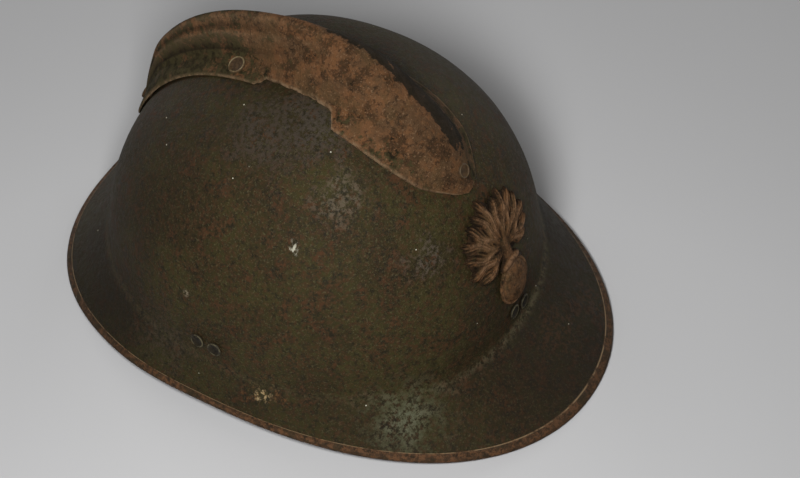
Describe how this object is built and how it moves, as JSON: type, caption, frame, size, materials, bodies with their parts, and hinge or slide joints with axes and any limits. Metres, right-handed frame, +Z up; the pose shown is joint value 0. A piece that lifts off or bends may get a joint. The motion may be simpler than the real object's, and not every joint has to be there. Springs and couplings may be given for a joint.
{
  "type": "adrian helmet",
  "caption": "Pressed steel combat helmet with an all-round brim, a hollow riveted crest along the top and a flaming grenade badge; worn on the head.",
  "frame": {"origin": "middle of the rim's outline, at the height of the rim's lowest points, on the surface the helmet stands on", "axes": "+Z up through the crown, -Y towards the front brim and the badge, +X towards the wearer's left"},
  "size_m": [0.2144, 0.291, 0.1762],
  "materials": {
    "shell_paint": "worn satin olive-brown paint with rust freckles",
    "crest_rust": "heavily rusted old olive paint, rough",
    "badge_rust": "rusty brown stamped steel, rough",
    "crest_rivet_steel": "rusted, with a bright worn ring",
    "base_rivet_steel": "dark, dull, slightly greasy"
  },
  "bodies": {
    "root": {"shell": "shell_paint", "crest": "crest_rust", "grenade_badge": "badge_rust", "crest_rivet_front": "crest_rivet_steel", "crest_rivet_rear": "crest_rivet_steel", "crest_rivet_right": "crest_rivet_steel", "crest_rivet_left": "crest_rivet_steel", "base_rivet_front_right": "base_rivet_steel", "base_rivet_front_left": "base_rivet_steel", "base_rivet_rear_right": "base_rivet_steel", "base_rivet_rear_left": "base_rivet_steel", "base_rivet_right_front": "base_rivet_steel", "base_rivet_right_rear": "base_rivet_steel", "base_rivet_left_front": "base_rivet_steel", "base_rivet_left_rear": "base_rivet_steel"}
  },
  "joints": []
}
